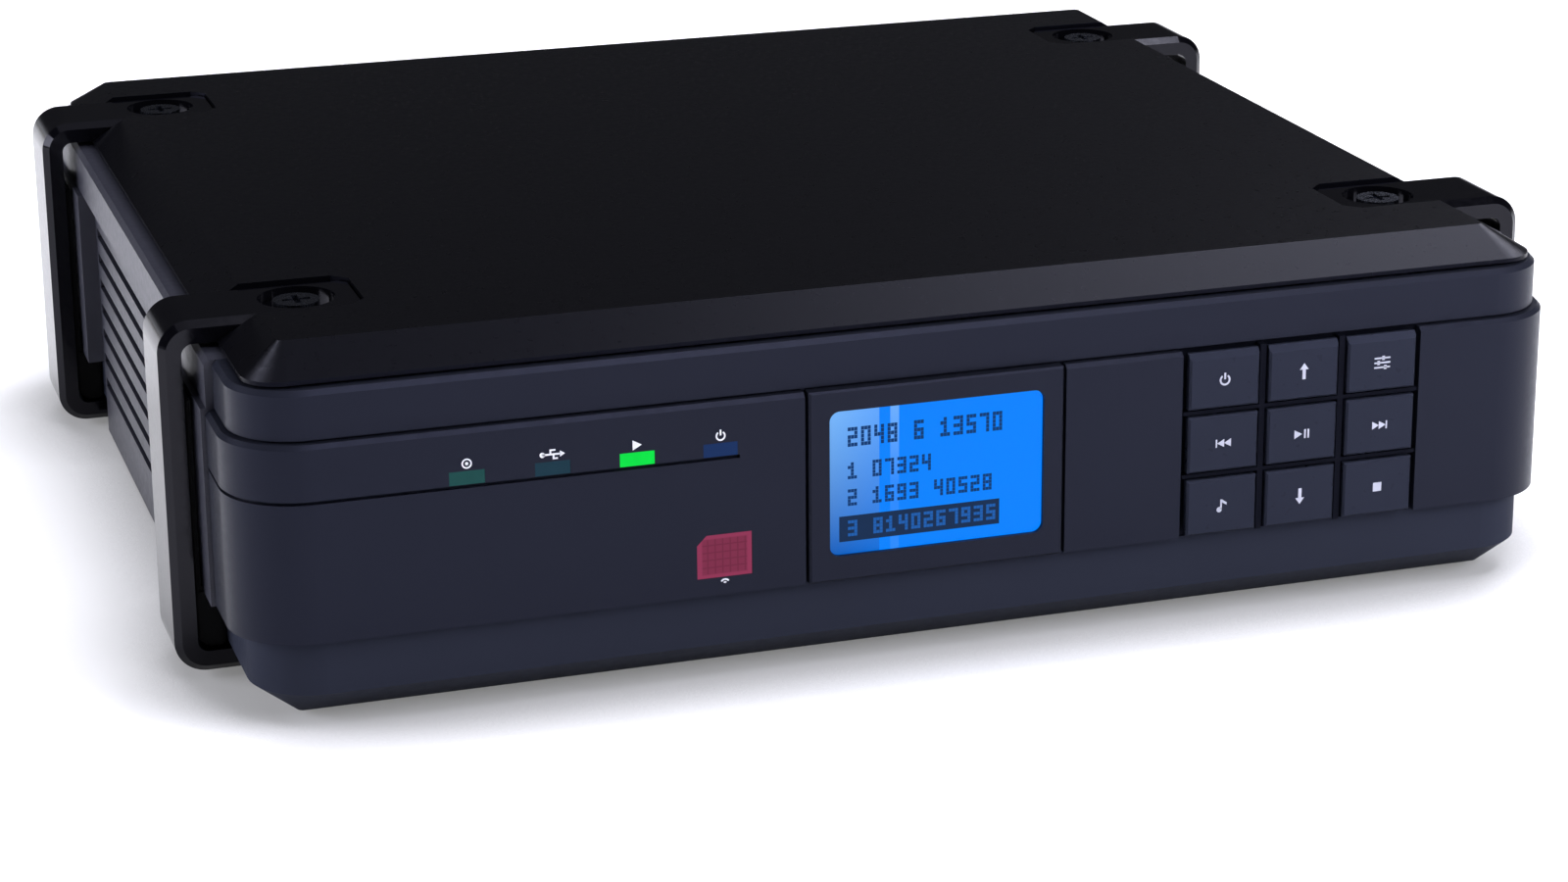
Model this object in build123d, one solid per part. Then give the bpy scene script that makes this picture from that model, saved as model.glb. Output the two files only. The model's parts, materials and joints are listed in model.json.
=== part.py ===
"""Desktop media player with a slide-out hard drive tray, built as separate pieces.

Modelled with y = 0 on the front face, +Y to the back, +X to the right seen from the front, and
z = 0 on the floor under the foot pads. save() moves each piece so that the origin is the centre
of the whole object's footprint. Millimetres.
"""
from build123d import *
import os

# ---- body: driving dimensions -------------------------------------------------------------
HALF_W = 100.0            # main band, centre to side face
BODY_D = 181.4            # front face to the rear edge of the casing
R_MAIN = 11.0             # upright corners of the main band
OVERALL_D = 187.6         # front face to the tips of the rear sockets
FLAT_Z = 0.8              # underside of the bottom cover
BOTTOM_CHAMFER_Z = 5.3    # where the bottom chamfer meets the upright skirt
STEP_Z = 13.1             # top of the bottom cover's skirt
PANEL_TOP_Z = 42.1        # top of the main band
BAND_TOP_Z = 49.0         # top ledge of the upper band, which carries the cover
TOP_Z = 53.5              # flat top
WALL = 2.4                # moulded walls
SKIN = 2.0                # front fascia plates
CARRIER_T = 2.2           # moulded carrier behind them
SPLIT_D = 19.6            # upright seam between the front mouldings and the housing
SIDE_PROUD = 0.6          # the housing's sides stand this far out from the front mouldings
SEAM = 0.25               # half-width of the dark lines between fascia plates
GROOVE = 0.35             # gap under the upper band, above the fascias

UPPER_INSET = 1.3         # upper band, set in from the main band
UPPER_SIDE = 0.2          # the housing's upper band, set in from the front's main band
BAND_CHAMFER = 0.7        # top edge of the upper band
FASCIA_CHAMFER = 0.6      # top edge of the fascia
LOWER_INSET_X = 2.5       # bottom skirt, set in at the sides
LOWER_INSET_Y = 1.5       # bottom skirt, set in at front and back
COVER_INSET = 3.2         # top cover's rim, set in from the main band
COVER_SIDE_CHAMFER = 5.7
COVER_FRONT_CHAMFER = 7.6
COVER_CORNER = 5.5        # upright corners of the cover's rim
COVER_LIP = (49.4, 50.0)  # upright lip at the foot of the cover's chamfer
BOTTOM_CHAMFER = 6.2      # in plan, all round
COVER_T = 2.2             # skin of the top and bottom covers
SHARP_R = 1.0             # corners of both flat faces
LEDGE_Z = 47.2            # underside of the ledge that carries the cover
LEDGE_INNER = 7.6         # ledge's inner edge, in from the main band
COVER_SKIRT = (7.9, 9.5)  # cover's locating skirt, in from the main band
COVER_STAND = 5.2         # outer edge of the cover's foot on the ledge, in from the main band

# ---- side vents -----------------------------------------------------------------------------
VENT_X = 98.0             # face of the sunk vent fields
VENT_T = 2.4
FIELD_Y = (44.0, 140.0)
SLOT_Y = (85.0, 138.5)
SLOT_H = 1.6
SLOT_TOP_Z = 40.3
SLOT_PITCH = 4.33
SLOT_COUNT = 8
VENT_PITCH = 12.0         # slots in the bottom and in the bay's roof
VENT_RUN_Y = (60.0, 140.0)

# ---- corner clamps --------------------------------------------------------------------------
CLAMP_YS = (32.5, 153.0)
CLAMP_W = 14.5
CLAMP_T = 3.2
CLAMP_X = (76.0, 105.1)
CLAMP_Z = (1.1, TOP_Z - 0.5)
CLAMP_R = 4.6             # outer bends
CLAMP_INNER_R = 1.6
CLAMP_BEVEL = 1.0
TAB_CORNER = 2.2          # cut corners of each arm's end
TAB_GAP = 0.3             # round each arm, in its recess
SCREW_X = 84.3
BORE_R = 5.5              # round sinkings for the screw above and the foot pad below
BORE_DEPTH = 1.5
SCREW_HOLE_R = 1.8
SCREW_R = 1.45
PAD_R = 5.2
PAD_ROOF_Z = 5.6          # top of the pan over each lower clamp arm, which also carries the bay
SCREW_BOSS_Z = 44.5       # foot of the boss under each clamp screw

# ---- front: windows, lamps and keys -----------------------------------------------------------
DISPLAY_X = (-19.4, 19.4)
LCD_X = (-16.1, 16.1)
LCD_Z = (17.1, 38.6)
LCD_R = 1.5
LCD_BACK = 8.5            # back of the display cell's frame
KEYPAD_X = (38.0, 75.5)
KEY_W = 11.0
KEY_H = 8.5
KEY_PITCH_X = 12.6
KEY_PITCH_Z = 9.65
KEY_PROUD = 0.5
KEY_BACK = 0.8            # back face of the key caps at rest
KEY_TRAVEL = 0.6
KEY_NAMES = (("key_power", "key_up", "key_setting"),
             ("key_previous", "key_play", "key_next"),
             ("key_music", "key_down", "key_stop"))
LAMP_XS = {"drive_lamp": -68.0, "usb_lamp": -56.0, "play_lamp": -44.0, "power_lamp": -32.0}
LAMP_W = 5.0
LAMP_Z = (33.85, 35.85)
LINE_Z = (33.35, 33.85)   # cut line under the lamps
LINE_END_X = -29.2
LINE_DEPTH = 0.7
IR_X = (-35.65, -27.6)
IR_Z = (16.0, 22.4)
IR_CUT = 1.4              # cut upper left corner of the infrared window
BOARD_D = (11.5, 13.1)    # control board, from front to back
SWITCH_D = 9.0            # front of the key switches
STEM_GAP = 0.1            # left between a key's stem and its switch when it is pressed in

# ---- drive bay and tray -----------------------------------------------------------------------
BAY_X = -32.5             # centre line of bay, tray and drive
CAGE_HALF = 57.0
CAGE_T = 1.0
CAGE_Z = (PAD_ROOF_Z, 39.2)
CAGE_FOOT = 4.0           # width of the feet, folded inwards under the guides
CAGE_Y = (16.4, 177.4)
BAY_BOARD_D = 16.2        # back face of the board behind the bay's connector
RIBBON_X = (26.5, 36.5)   # ribbon from the bay's board to the main board
FRONT_RIBBON_X = (44.0, 70.0)
DRIVE_SIZE = (101.6, 147.0, 26.1)
DRIVE_Y = (28.0, 175.0)
DRIVE_Z = 7.8
DRIVE_SCREW_YS = (DRIVE_Y[1] - 28.5, DRIVE_Y[1] - 28.5 - 101.6)
DRIVE_SCREW_Z = DRIVE_Z + 16.35
DRIVE_SCREW_R = 1.8
TRAY_WALL = 1.6
TRAY_FLOOR_Z = (6.0, 7.4)
TRAY_SIDE_Z = 28.0
TRAY_HALF = 52.5
RUNNER = (2.1, 3.0)       # width and height of the runners on the tray's sides
RUNNER_Z = 10.0
GUIDE_IN = 52.9           # guides' inner faces, from the bay's centre line
GUIDE_Z = (6.6, 16.6)
FACE_HALF = 54.8
FACE_Z = (6.0, 38.4)
FACE_GAP = 0.4
FACE_D = (177.6, 181.0)
POCKET_HALF = 26.0
POCKET_Z = (9.5, 25.5)
POCKET_FLOOR = 176.6
PIVOT_D = 184.1
PIVOT_Z = 30.5
PIN_R = 1.25
PULL_HALF = 29.0
PULL_T = 3.0
PULL_DROP = 18.5          # pivot to the lower edge of the grip

# ---- rear panel and sockets -------------------------------------------------------------------
PANEL_D = (BODY_D - 3.6, BODY_D - WALL)
PANEL_HALF = 90.0
OPEN_HALF = 88.8
OPEN_Z = (PAD_ROOF_Z, 45.0)
MAIN_BOARD_X = (25.2, 93.0)
MAIN_BOARD_Y = (62.0, 176.5)
MAIN_BOARD_Z = (10.0, 11.6)
INLET = (31.5, 17.2)      # x, z of the power inlet
SWITCH = (31.5, 34.2)     # x, z of the power rocker
USB = (47.0, 17.2)
SVIDEO = (47.0, 33.5)
PHONO_XS = (59.4, 71.6, 83.8)
PHONO_ZS = (19.0, 33.0)
PHONO_R = 4.15
PHONO_OPENING = ((54.4, 88.4), (13.8, 40.2))
PANEL_SCREWS = ((-85.5, 41.9), (19.5, 41.9), (85.5, 41.9), (85.5, 9.6))
PROCESSOR = (62.0, 108.0)
PROCESSOR_H = 2.4
ROCKER_D = 176.4          # pivot of the rocker
ROCKER_TILT = 8.0


# ---- helpers ------------------------------------------------------------------------------------
def span(x, y, z):
    """A block between the two limits of each axis."""
    size = [b - a for a, b in (x, y, z)]
    centre = [(a + b) / 2 for a, b in (x, y, z)]
    return Pos(*centre) * Box(*size)


def about(centre, half):
    return centre - half, centre + half


def plan(half, front, rear, radius, z):
    """A rounded rectangle lying at height z."""
    sketch = Pos(0, (front + rear) / 2) * RectangleRounded(2 * half, rear - front, radius)
    return Plane.XY.offset(z) * sketch


def prism(half, front, rear, radius, z):
    return extrude(plan(half, front, rear, radius, z[0]), z[1] - z[0])


def rod(radius, y, x, z):
    """A round bar along Y between the limits y, at x and z."""
    bar = Cylinder(radius, y[1] - y[0], rotation=(90, 0, 0))
    return Pos(x, (y[0] + y[1]) / 2, z) * bar


def post(radius, z, x, y):
    return Pos(x, y, (z[0] + z[1]) / 2) * Cylinder(radius, z[1] - z[0])


def total(solids):
    """Fuse a list of solids into one part."""
    solids = list(solids)
    result = solids[0]
    for solid in solids[1:]:
        result = result + solid
    return result


def wall_ring(inset, thickness, z):
    """Rectangular ring of wall, its outer faces set in from the main band."""
    deep = inset + thickness
    outer = span(about(0, HALF_W - inset), (inset, BODY_D - inset), z)
    return outer - span(about(0, HALF_W - deep), (deep, BODY_D - deep), z)


def both_sides(right):
    return right + mirror(right, about=Plane.YZ)


FAR = 400.0
EVERYWHERE = (-FAR, FAR)


def front_of(y):
    return span(EVERYWHERE, (-FAR, y), EVERYWHERE)


def behind(y):
    return span(EVERYWHERE, (y, FAR), EVERYWHERE)


# ---- casing -------------------------------------------------------------------------------------
def tab_recess(y, z, gap=TAB_GAP):
    """Space that one right-hand clamp arm takes in a cover, from above, with its cut corners."""
    half = CLAMP_W / 2 + gap
    inner = CLAMP_X[0] - gap
    outline = Polyline((inner + TAB_CORNER, y - half), (FAR, y - half), (FAR, y + half),
                       (inner + TAB_CORNER, y + half), (inner, y + half - TAB_CORNER),
                       (inner, y - half + TAB_CORNER), close=True)
    return extrude(Plane.XY.offset(z[0]) * make_face(outline), z[1] - z[0])


def rear_opening():
    """Opening in the rear walls, and the step in front of it that the rear panel fits into."""
    inner = BODY_D - LEDGE_INNER
    return (span((-OPEN_HALF, OPEN_HALF), (inner, FAR), OPEN_Z)
            + span((-PANEL_HALF - 0.1, PANEL_HALF + 0.1), (inner, PANEL_D[1]), OPEN_Z))


def upper_band(half):
    """Ring of the upper band with the ledge that the top cover stands on."""
    front, rear = UPPER_INSET, BODY_D - UPPER_INSET
    radius = R_MAIN - UPPER_INSET
    ring = prism(half, front, rear, radius, (PANEL_TOP_Z, BAND_TOP_Z))
    ring = chamfer(ring.edges().group_by(Axis.Z)[-1], BAND_CHAMFER)
    inside = prism(half - WALL, front + WALL, rear - WALL, radius - WALL, (0, LEDGE_Z))
    hole = span(about(0, HALF_W - LEDGE_INNER), (LEDGE_INNER, BODY_D - LEDGE_INNER), (0, TOP_Z))
    return ring - inside - hole


def main_housing():
    """Side and rear walls, with a sunk field of louvre slots in each side."""
    shell = prism(HALF_W + SIDE_PROUD, 0, BODY_D, R_MAIN + SIDE_PROUD, (STEP_Z, PANEL_TOP_Z))
    inside = prism(HALF_W - WALL, WALL, BODY_D - WALL, R_MAIN - WALL, (0, PANEL_TOP_Z))
    walls = (shell - inside + upper_band(HALF_W - UPPER_SIDE)) & behind(SPLIT_D)
    frame = (FIELD_Y[0] - VENT_T, FIELD_Y[1] + VENT_T)
    boss = span((VENT_X - VENT_T, HALF_W - UPPER_INSET), frame, (STEP_Z, LEDGE_Z))
    curtain = span((VENT_X - VENT_T, VENT_X), FIELD_Y, (FLAT_Z + 0.1, STEP_Z))
    sunk = span((VENT_X, FAR), FIELD_Y, (0, PANEL_TOP_Z))
    slots = total(span((VENT_X - 2 * VENT_T, FAR), SLOT_Y, about(SLOT_TOP_Z - i * SLOT_PITCH, SLOT_H / 2))
                  for i in range(SLOT_COUNT))
    walls = walls + both_sides(boss + curtain) - both_sides(sunk) - both_sides(slots)
    return walls - rear_opening()


def screw_bore(y):
    """Blind bore under a right-hand clamp screw."""
    return post(SCREW_R + 0.05, (SCREW_BOSS_Z + 0.8, FAR), SCREW_X, y)


def top_cover():
    """Chamfered lid with four recesses for the clamp arms and a boss under each."""
    rim = (HALF_W - COVER_INSET, COVER_INSET, BODY_D - COVER_INSET)
    flat = (rim[0] - COVER_SIDE_CHAMFER, rim[1] + COVER_FRONT_CHAMFER, rim[2] - COVER_SIDE_CHAMFER)
    corner = COVER_CORNER
    slope = loft([plan(*rim, corner, COVER_LIP[1]), plan(*flat, SHARP_R, TOP_Z)])
    lid = prism(*rim, corner, COVER_LIP) + slope
    inner_rim = (rim[0] - COVER_T, rim[1] + COVER_T, rim[2] - COVER_T)
    inner_flat = (flat[0] - 1, flat[1] + 1, flat[2] - 1)
    hollow = loft([plan(*inner_rim, corner - COVER_T, COVER_LIP[0]),
                   plan(*inner_flat, SHARP_R, TOP_Z - COVER_T)])
    skirt = wall_ring(COVER_SKIRT[0], COVER_SKIRT[1] - COVER_SKIRT[0], (LEDGE_Z - 1.5, COVER_LIP[1]))
    stand = wall_ring(COVER_STAND, COVER_SKIRT[0] - COVER_STAND, (BAND_TOP_Z, COVER_LIP[1]))
    lid = lid - hollow + skirt + stand
    floor_z = CLAMP_Z[1] - CLAMP_T
    pad_x = (CLAMP_X[0] - 2.5, HALF_W - COVER_SKIRT[0])
    pads = total(span(pad_x, about(y, CLAMP_W / 2 + 2), (floor_z - COVER_T, TOP_Z - 1))
                 + span(about(SCREW_X, 4.2), about(y, 4.2), (SCREW_BOSS_Z, floor_z)) for y in CLAMP_YS)
    recesses = total(tab_recess(y, (floor_z, FAR)) + screw_bore(y) for y in CLAMP_YS)
    return lid + both_sides(pads) - both_sides(recesses)


def bottom_cover():
    """Shallow pan with a chamfered underside, board posts, vents and recesses for the clamp arms."""
    skirt = (HALF_W - LOWER_INSET_X, LOWER_INSET_Y, BODY_D - LOWER_INSET_Y)
    flat = (skirt[0] - BOTTOM_CHAMFER, skirt[1] + BOTTOM_CHAMFER, skirt[2] - BOTTOM_CHAMFER)
    corner = R_MAIN - LOWER_INSET_Y
    pan = (prism(*skirt, corner, (BOTTOM_CHAMFER_Z, STEP_Z))
           + loft([plan(*flat, SHARP_R, FLAT_Z), plan(*skirt, corner, BOTTOM_CHAMFER_Z)]))
    t = COVER_T
    hollow = (prism(skirt[0] - t, skirt[1] + t, skirt[2] - t, corner - t, (BOTTOM_CHAMFER_Z + 1.5, STEP_Z))
              + loft([plan(flat[0] - 1, flat[1] + 1, flat[2] - 1, SHARP_R, FLAT_Z + t),
                      plan(skirt[0] - t, skirt[1] + t, skirt[2] - t, corner - t, BOTTOM_CHAMFER_Z + 1.5)]))
    pan = pan - hollow
    ceiling = CLAMP_Z[0] + CLAMP_T
    pads = total(span((CLAMP_X[0] - 2.5, skirt[0] - t), about(y, CLAMP_W / 2 + 2), (FLAT_Z + 1, PAD_ROOF_Z))
                 for y in CLAMP_YS)
    recesses = total(tab_recess(y, (0, ceiling)) for y in CLAMP_YS)
    notch = span((VENT_X - VENT_T - 0.15, FAR), (FIELD_Y[0] - 0.15, FIELD_Y[1] + 0.15), EVERYWHERE)
    posts = total(span(about(x, 2.6), about(y, 2.6), (FLAT_Z + 1, MAIN_BOARD_Z[0]))
                  for x in (MAIN_BOARD_X[0] + 6, MAIN_BOARD_X[1] - 6) for y in (70.0, 150.0))
    vents = total(span(about(BAY_X + i * VENT_PITCH, 1.6), VENT_RUN_Y, (0, FLAT_Z + t)) for i in range(-3, 4))
    return pan + both_sides(pads) + posts - both_sides(recesses) - both_sides(notch) - vents - rear_opening()


def front_bezel():
    """Moulded carrier behind the fascia plates, with the front stretch of the upper band."""
    back = SKIN + CARRIER_T
    carrier = (prism(HALF_W - SKIN, SKIN, BODY_D, R_MAIN - SKIN, (STEP_Z, PANEL_TOP_Z))
               - prism(HALF_W - back, back, BODY_D + 20, R_MAIN - back, (0, PANEL_TOP_Z)))
    bezel = (carrier + upper_band(HALF_W - UPPER_INSET)) & front_of(SPLIT_D)
    openings = [span((LCD_X[0] - 2.5, LCD_X[1] + 2.5), EVERYWHERE, (14.7, 41.3)),
                span((IR_X[0] + 0.6, IR_X[1] - 0.6), EVERYWHERE, (IR_Z[0] + 0.6, IR_Z[1] - 0.6)),
                span((KEYPAD_X[0] + 0.5, KEYPAD_X[1] - 0.5), EVERYWHERE, (14.6, 40.6))]
    openings += [span(about(x, LAMP_W / 2), EVERYWHERE, LAMP_Z) for x in LAMP_XS.values()]
    window = total(openings) & span(EVERYWHERE, (0, SPLIT_D), (STEP_Z, PANEL_TOP_Z))
    bosses = total(span(about(x, 2.3), (back - 0.5, BOARD_D[0]), about(z, 2.3))
                   for x in (-86.0, 86.0) for z in (20.0, 39.0))
    return bezel - window + bosses


# ---- fascia -------------------------------------------------------------------------------------
FASCIA_Z = (STEP_Z + SEAM, PANEL_TOP_Z - GROOVE)


def fascia_skin():
    """The whole skin of the main band's front, before it is divided."""
    skin = (prism(HALF_W, 0, BODY_D, R_MAIN, FASCIA_Z)
            - prism(HALF_W - SKIN, SKIN, BODY_D + 20, R_MAIN - SKIN, FASCIA_Z))
    top_edges = skin.edges().group_by(Axis.Z)[-1]
    outer = [e for e in top_edges if e.center().Y < 0.1 or abs(e.center().X) > HALF_W - 0.1
             or (e.geom_type == GeomType.CIRCLE and e.radius > R_MAIN - 0.1 and e.center().Y < R_MAIN)]
    skin = chamfer(outer, FASCIA_CHAMFER)
    return skin & front_of(SPLIT_D - 0.2)


def left_fascia(skin):
    piece = skin & span((-FAR, DISPLAY_X[0] - SEAM), EVERYWHERE, EVERYWHERE)
    line = (prism(HALF_W + 5, -5, BODY_D, R_MAIN + 5, LINE_Z)
            - prism(HALF_W - LINE_DEPTH, LINE_DEPTH, BODY_D, R_MAIN - LINE_DEPTH, LINE_Z))
    piece = piece - (line & span((-FAR, LINE_END_X), EVERYWHERE, EVERYWHERE))
    lamps = total(span(about(x, LAMP_W / 2), EVERYWHERE, LAMP_Z) for x in LAMP_XS.values())
    return piece - lamps - ir_prism((-1, SKIN + 1), 0)


def ir_prism(y, gap):
    """Infrared window's outline, with its upper left corner cut, run along Y."""
    x0, x1, z0, z1 = IR_X[0] + gap, IR_X[1] - gap, IR_Z[0] + gap, IR_Z[1] - gap
    outline = Polyline((x0, z0), (x1, z0), (x1, z1), (x0 + IR_CUT, z1), (x0, z1 - IR_CUT), close=True)
    face = Plane.XZ.offset(-y[0]) * make_face(outline)
    return extrude(face, y[1] - y[0], dir=(0, 1, 0))


def lcd_prism(y, grow):
    centre = ((LCD_X[0] + LCD_X[1]) / 2, (LCD_Z[0] + LCD_Z[1]) / 2)
    size = (LCD_X[1] - LCD_X[0] + 2 * grow, LCD_Z[1] - LCD_Z[0] + 2 * grow)
    face = Plane.XZ.offset(-y[0]) * (Pos(*centre) * RectangleRounded(*size, LCD_R))
    return extrude(face, y[1] - y[0], dir=(0, 1, 0))


def display_fascia():
    plate = span((DISPLAY_X[0] + SEAM, DISPLAY_X[1] - SEAM), (-0.3, SKIN), FASCIA_Z)
    plate = chamfer(plate.faces().sort_by(Axis.Y)[0].edges(), 0.3)
    return plate - lcd_prism((-1, SKIN + 1), 0.05)


def centre_fascia(skin):
    return skin & span((DISPLAY_X[1] + SEAM, KEYPAD_X[0] - SEAM), EVERYWHERE, EVERYWHERE)


def right_fascia(skin):
    return skin & span((KEYPAD_X[1] + SEAM, FAR), EVERYWHERE, EVERYWHERE)


def lamp_guide(x):
    """Light guide from its window in the fascia to the lamp on the control board."""
    head = span(about(x, LAMP_W / 2 - 0.03), (0.05, 6.0), (LAMP_Z[0] + 0.03, LAMP_Z[1] - 0.03))
    tail = span(about(x, 1.6), (6.0, BOARD_D[0] - 1.3), (LAMP_Z[0] + 0.2, LAMP_Z[1] - 0.2))
    return head + tail


def indicator_leds():
    return Compound([span(about(x, 1.6), (BOARD_D[0] - 1.2, BOARD_D[0]), about(sum(LAMP_Z) / 2, 0.8))
                     for x in LAMP_XS.values()])


def ir_window():
    return ir_prism((0.0, SKIN), 0.05)


def ir_receiver():
    x = (IR_X[0] + IR_X[1]) / 2
    z = (IR_Z[0] + IR_Z[1]) / 2
    body = span(about(x, 3.2), (7.0, BOARD_D[0]), about(z, 2.9))
    return body + span(about(x, 2.2), (5.6, 7.0), about(z, 2.2))


def lcd_window():
    return lcd_prism((0.25, SKIN), 0)


def lcd_module():
    """Display cell in its pressed frame, on four posts from the control board."""
    x = (LCD_X[0] - 2.2, LCD_X[1] + 2.2)
    z = (15.0, 41.0)
    frame = span(x, (SKIN + 0.2, LCD_BACK), z)
    view = span((LCD_X[0] - 0.6, LCD_X[1] + 0.6), (SKIN, SKIN + 0.8), (LCD_Z[0] - 0.6, LCD_Z[1] + 0.6))
    posts = total(span(about(px, 1.2), (LCD_BACK, BOARD_D[0]), about(pz, 1.2))
                  for px in (x[0] + 2, x[1] - 2) for pz in (z[0] + 2, z[1] - 2))
    return frame - view + posts


# ---- keypad -------------------------------------------------------------------------------------
KEY_COLS = [sum(KEYPAD_X) / 2 + (i - 1) * KEY_PITCH_X for i in range(3)]
KEY_ROWS = [sum(FASCIA_Z) / 2 + (1 - j) * KEY_PITCH_Z for j in range(3)]
FRAME_FRONT = 1.8         # front of the plate behind the caps
FRAME_BACK = 3.4


def keypad_frame():
    """Thin ribs between the keys on a plate with a hole for each key's stem."""
    plate = (span(KEYPAD_X, (FRAME_FRONT, SKIN), FASCIA_Z)
             + span((KEYPAD_X[0] + 0.6, KEYPAD_X[1] - 0.6), (SKIN, FRAME_BACK), (14.7, 40.5)))
    holes = total(span(about(x, 2.4), EVERYWHERE, about(z, 1.9)) for x in KEY_COLS for z in KEY_ROWS)
    rib_x = (KEY_PITCH_X - KEY_W) / 2 - 0.35
    rib_z = (KEY_PITCH_Z - KEY_H) / 2 - 0.3
    uprights = total(span(about(KEY_COLS[1] + s * KEY_PITCH_X / 2, rib_x), (0.15, SKIN), FASCIA_Z)
                     for s in (-1, 1))
    rails = total(span(KEYPAD_X, (0.15, SKIN), about(KEY_ROWS[1] + s * KEY_PITCH_Z / 2, rib_z))
                  for s in (-1, 1))
    return plate - holes + uprights + rails


def key(x, z, top_row):
    """One key: bevelled cap, the stem that works its switch and a collar behind the plate."""
    cap = span(about(x, KEY_W / 2), (-KEY_PROUD, KEY_BACK), about(z, KEY_H / 2))
    edges = cap.faces().sort_by(Axis.Y)[0].edges().sort_by(Axis.Z)
    if top_row:
        cap = chamfer(edges[-1], 1.0, 0.8)
        edges = cap.faces().sort_by(Axis.Y)[0].edges().sort_by(Axis.Z)[:-1]
    cap = chamfer(edges, 0.3)
    stem = span(about(x, 2.0), (KEY_BACK, SWITCH_D - KEY_TRAVEL - STEM_GAP), about(z, 1.5))
    collar = span(about(x, 3.2), (FRAME_BACK + 0.4, FRAME_BACK + 1.2), about(z, 2.5))
    return cap + stem + collar


def key_switches():
    return Compound([span(about(x, 3.0), (SWITCH_D + 0.8, BOARD_D[0]), about(z, 3.0))
                     + span(about(x, 1.5), (SWITCH_D, SWITCH_D + 0.8), about(z, 1.5))
                     for x in KEY_COLS for z in KEY_ROWS])


def control_board():
    return span((-90.0, 90.0), BOARD_D, (15.2, 46.0))


# ---- corner clamps ------------------------------------------------------------------------------
def is_outer_rim(edge):
    """Whether an edge of the strap runs along the outside of one of its two faces."""
    if abs(abs(edge.center().Y) - CLAMP_W / 2) > 0.01:
        return False
    if edge.geom_type == GeomType.CIRCLE:
        return edge.radius > CLAMP_R - 0.1
    x, z = edge.center().X, edge.center().Z
    return x > CLAMP_X[1] - 0.01 or z > CLAMP_Z[1] - 0.01 or z < CLAMP_Z[0] + 0.01


def clamp(side, y):
    """C-shaped strap over one side of the casing, with an arm sunk in each cover."""
    width, height = CLAMP_X[1] - CLAMP_X[0], CLAMP_Z[1] - CLAMP_Z[0]
    middle = (sum(CLAMP_X) / 2, sum(CLAMP_Z) / 2)
    outer = Pos(*middle) * Rectangle(width, height)
    outer = fillet(outer.vertices().group_by(Axis.X)[-1], CLAMP_R)
    inner = Pos(middle[0] - CLAMP_T, middle[1]) * Rectangle(width, height - 2 * CLAMP_T)
    inner = fillet(inner.vertices().group_by(Axis.X)[-1], CLAMP_INNER_R)
    strap = extrude(Plane.XZ.offset(CLAMP_W / 2) * (outer - inner), CLAMP_W, dir=(0, 1, 0))
    strap = strap & tab_recess(0, (0, TOP_Z), 0)
    strap = chamfer([edge for edge in strap.edges() if is_outer_rim(edge)], CLAMP_BEVEL)
    top, foot = CLAMP_Z[1], CLAMP_Z[0]
    strap = strap - post(BORE_R, (top - BORE_DEPTH, TOP_Z), SCREW_X, 0)
    strap = strap - post(SCREW_HOLE_R, (TOP_Z / 2, TOP_Z), SCREW_X, 0)
    strap = Pos(0, y, 0) * (strap - post(BORE_R, (0, foot + BORE_DEPTH), SCREW_X, 0))
    return strap if side > 0 else mirror(strap, about=Plane.YZ)


def clamp_screws():
    seat = CLAMP_Z[1] - BORE_DEPTH
    head = post(3.3, (seat, seat + 1.2), 0, 0)
    cross = (span(about(0, 2.0), about(0, 0.45), (seat + 0.5, TOP_Z))
             + span(about(0, 0.45), about(0, 2.0), (seat + 0.5, TOP_Z)))
    screw = head - cross + post(SCREW_R, (SCREW_BOSS_Z + 1, seat), 0, 0)
    return Compound([Pos(s * SCREW_X, y, 0) * screw for s in (-1, 1) for y in CLAMP_YS])


def foot_pads():
    pad = post(PAD_R, (0, CLAMP_Z[0] + BORE_DEPTH), 0, 0)
    return Compound([Pos(s * SCREW_X, y, 0) * pad for s in (-1, 1) for y in CLAMP_YS])


# ---- drive bay ----------------------------------------------------------------------------------
def drive_bay():
    """Folded sheet cage over the tray: roof, two sides and feet turned inwards."""
    x = about(BAY_X, CAGE_HALF)
    cage = span(x, CAGE_Y, CAGE_Z) - span((x[0] + CAGE_T, x[1] - CAGE_T), EVERYWHERE, (0, CAGE_Z[1] - CAGE_T))
    feet = total(span(limits, CAGE_Y, (CAGE_Z[0], CAGE_Z[0] + CAGE_T))
                 for limits in ((x[0], x[0] + CAGE_FOOT), (x[1] - CAGE_FOOT, x[1])))
    roof_slots = total(span(about(BAY_X + i * VENT_PITCH, 2.0), VENT_RUN_Y, (30, FAR)) for i in range(-3, 4))
    side_slots = total(span((x[0] - 1, x[0] + 2), about(76.0 + i * 20, 6.0), about(30.0, 2.5))
                       for i in range(4))
    return cage + feet - roof_slots - side_slots


def tray_guides():
    """Two grooved rails on the cage's sides that carry the tray's runners."""
    rails = []
    for side in (-1, 1):
        near, far = GUIDE_IN, CAGE_HALF - CAGE_T
        block = span((near, far), (24.0, 176.0), GUIDE_Z)
        groove = span((near - 1, near + 2.3), EVERYWHERE, (RUNNER_Z - 0.4, RUNNER_Z + RUNNER[1] + 0.4))
        rail = block - groove
        rails.append(Pos(BAY_X, 0, 0) * (rail if side > 0 else mirror(rail, about=Plane.YZ)))
    return Compound(rails)


def bay_board():
    return span((BAY_X - 50.0, RIBBON_X[1] + 1), (14.6, BAY_BOARD_D), (6.0, 38.0))


def bay_connector():
    """Fixed half of the drive connector, with the slot that takes the tray's tongue."""
    shell = span(about(BAY_X, 31.0), (BAY_BOARD_D, 22.0), (14.0, 24.0))
    return shell - span(about(BAY_X, 27.0), (17.4, 30.0), (16.8, 21.2))


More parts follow.
